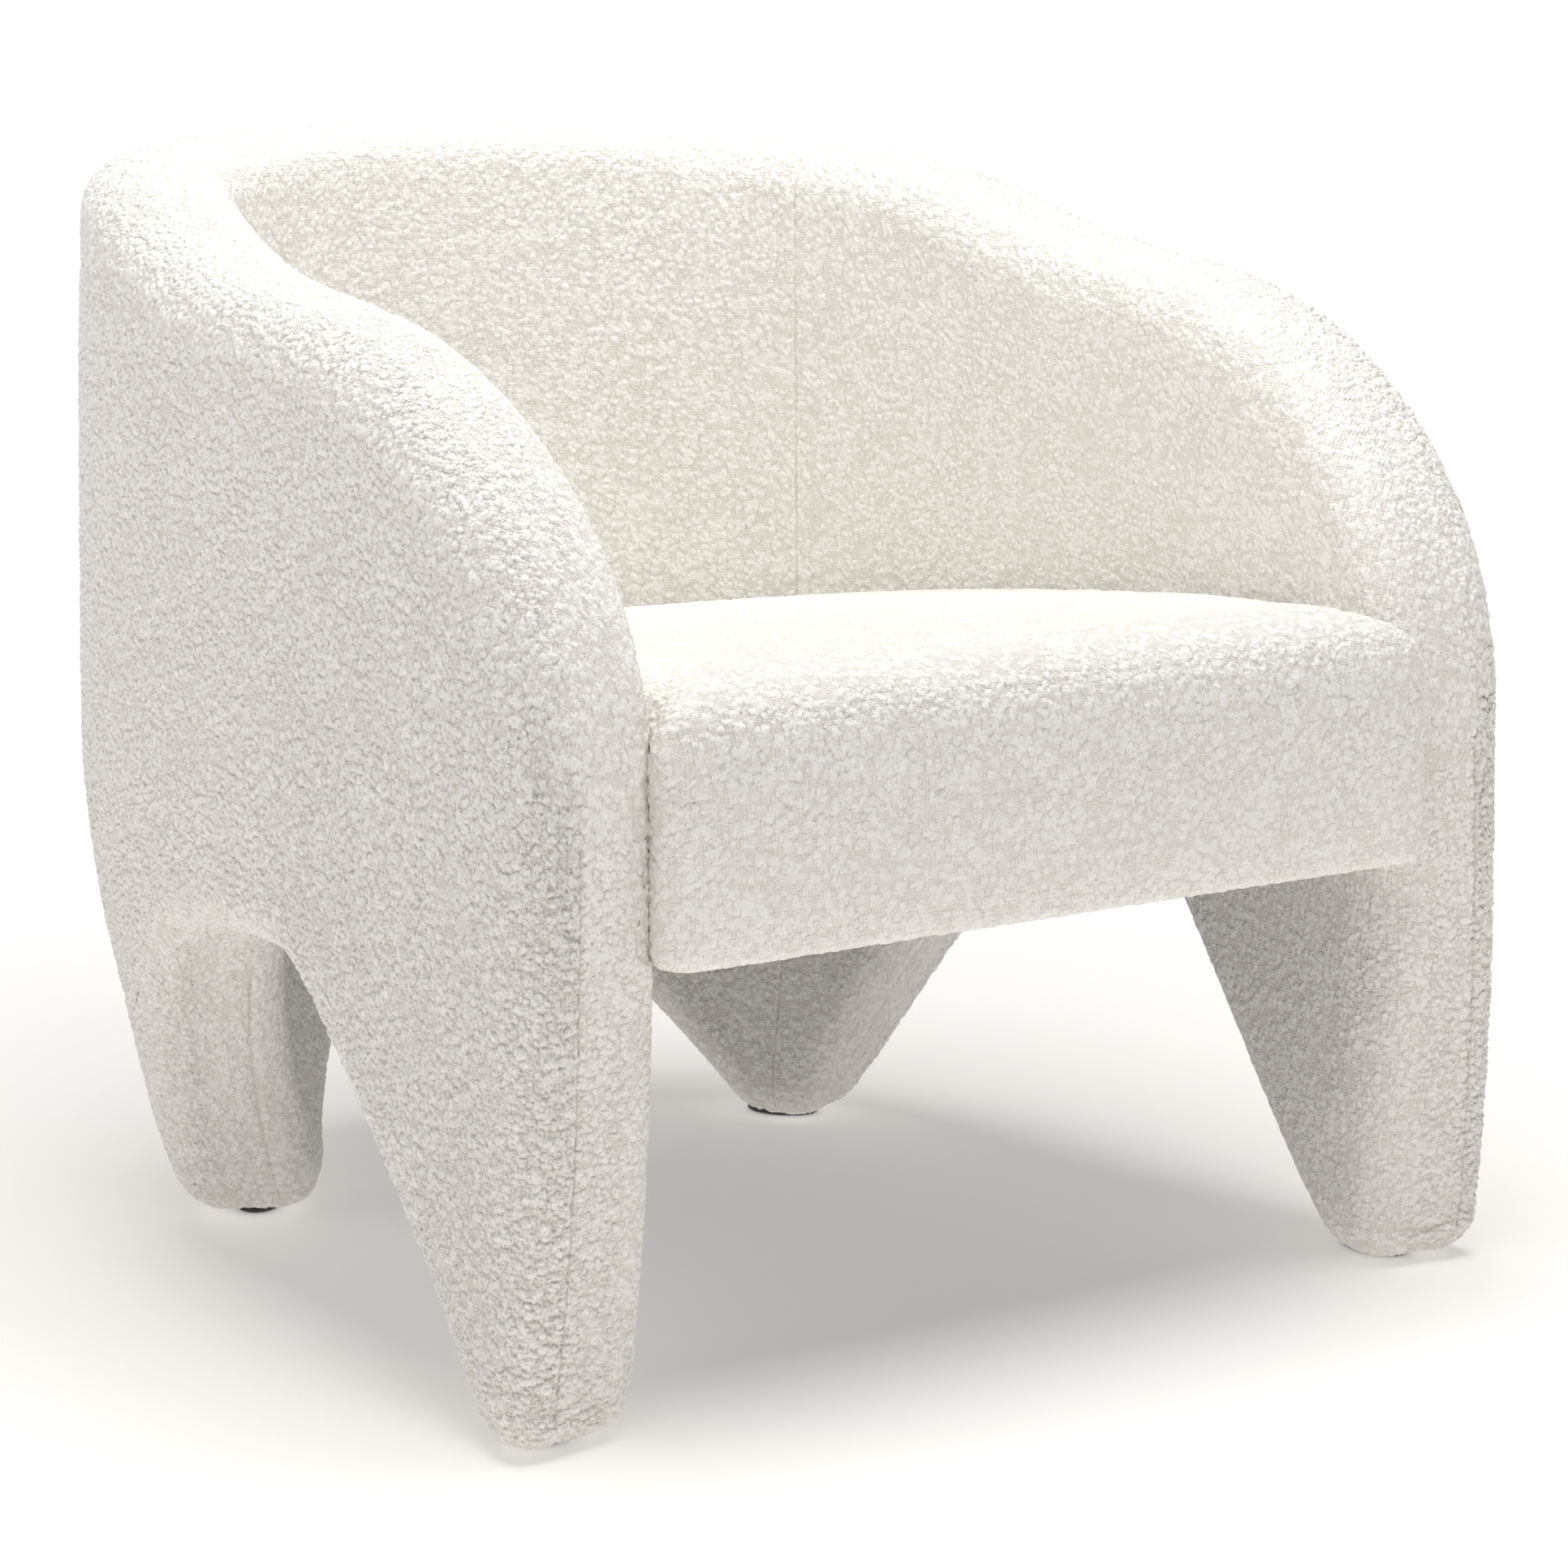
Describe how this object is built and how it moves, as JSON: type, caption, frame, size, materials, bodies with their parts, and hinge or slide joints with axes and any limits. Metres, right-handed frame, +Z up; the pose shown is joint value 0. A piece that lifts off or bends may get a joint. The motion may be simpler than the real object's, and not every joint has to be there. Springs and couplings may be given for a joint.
{
  "type": "upholstered armchair",
  "caption": "Barrel armchair covered all over in cream boucle: a curved back and arm wall runs down into wedge legs around a thick padded seat.",
  "frame": {"origin": "centre of the chair's bounding box, at the floor under the glides", "axes": "+Z up; the front faces -Y; +X is on the right of someone who looks at the front"},
  "size_m": [0.7538, 0.7878, 0.7065],
  "materials": {
    "shell_cover_outer": "looped boucle, cream white",
    "shell_cover_inner": "looped boucle, cream white",
    "seat_cover": "looped boucle, cream white",
    "shell_foam_outer_left": "upholstery foam",
    "shell_foam_outer_back": "upholstery foam",
    "shell_foam_outer_right": "upholstery foam",
    "shell_foam_inner_left": "upholstery foam",
    "shell_foam_inner_back": "upholstery foam",
    "shell_foam_inner_right": "upholstery foam",
    "seat_foam": "upholstery foam",
    "side_panel_left": "plywood",
    "side_panel_right": "plywood",
    "back_panel": "plywood",
    "rear_post_left": "sawn hardwood",
    "rear_post_right": "sawn hardwood",
    "back_lower_rail": "sawn hardwood",
    "back_top_rail": "sawn hardwood",
    "seat_rail_front": "sawn hardwood",
    "seat_rail_rear": "sawn hardwood",
    "seat_rail_left": "sawn hardwood",
    "seat_rail_right": "sawn hardwood",
    "seat_web_1": "elastic webbing",
    "seat_web_2": "elastic webbing",
    "seat_web_3": "elastic webbing",
    "seat_web_4": "elastic webbing",
    "seat_web_5": "elastic webbing",
    "dust_cover": "black non-woven",
    "glide_front_left": "black nylon",
    "seat_bolt_front_left": "zinc plated",
    "glide_front_right": "black nylon",
    "seat_bolt_front_right": "zinc plated",
    "glide_rear_left": "black nylon",
    "seat_bolt_rear_left": "zinc plated",
    "glide_rear_right": "black nylon",
    "seat_bolt_rear_right": "zinc plated"
  },
  "bodies": {
    "root": {"shell_cover_outer": "shell_cover_outer", "shell_cover_inner": "shell_cover_inner", "seat_cover": "seat_cover", "shell_foam_outer_left": "shell_foam_outer_left", "shell_foam_outer_back": "shell_foam_outer_back", "shell_foam_outer_right": "shell_foam_outer_right", "shell_foam_inner_left": "shell_foam_inner_left", "shell_foam_inner_back": "shell_foam_inner_back", "shell_foam_inner_right": "shell_foam_inner_right", "seat_foam": "seat_foam", "side_panel_left": "side_panel_left", "side_panel_right": "side_panel_right", "back_panel": "back_panel", "rear_post_left": "rear_post_left", "rear_post_right": "rear_post_right", "back_lower_rail": "back_lower_rail", "back_top_rail": "back_top_rail", "seat_rail_front": "seat_rail_front", "seat_rail_rear": "seat_rail_rear", "seat_rail_left": "seat_rail_left", "seat_rail_right": "seat_rail_right", "seat_web_1": "seat_web_1", "seat_web_2": "seat_web_2", "seat_web_3": "seat_web_3", "seat_web_4": "seat_web_4", "seat_web_5": "seat_web_5", "dust_cover": "dust_cover", "glide_front_left": "glide_front_left", "seat_bolt_front_left": "seat_bolt_front_left", "glide_front_right": "glide_front_right", "seat_bolt_front_right": "seat_bolt_front_right", "glide_rear_left": "glide_rear_left", "seat_bolt_rear_left": "seat_bolt_rear_left", "glide_rear_right": "glide_rear_right", "seat_bolt_rear_right": "seat_bolt_rear_right"}
  },
  "joints": []
}
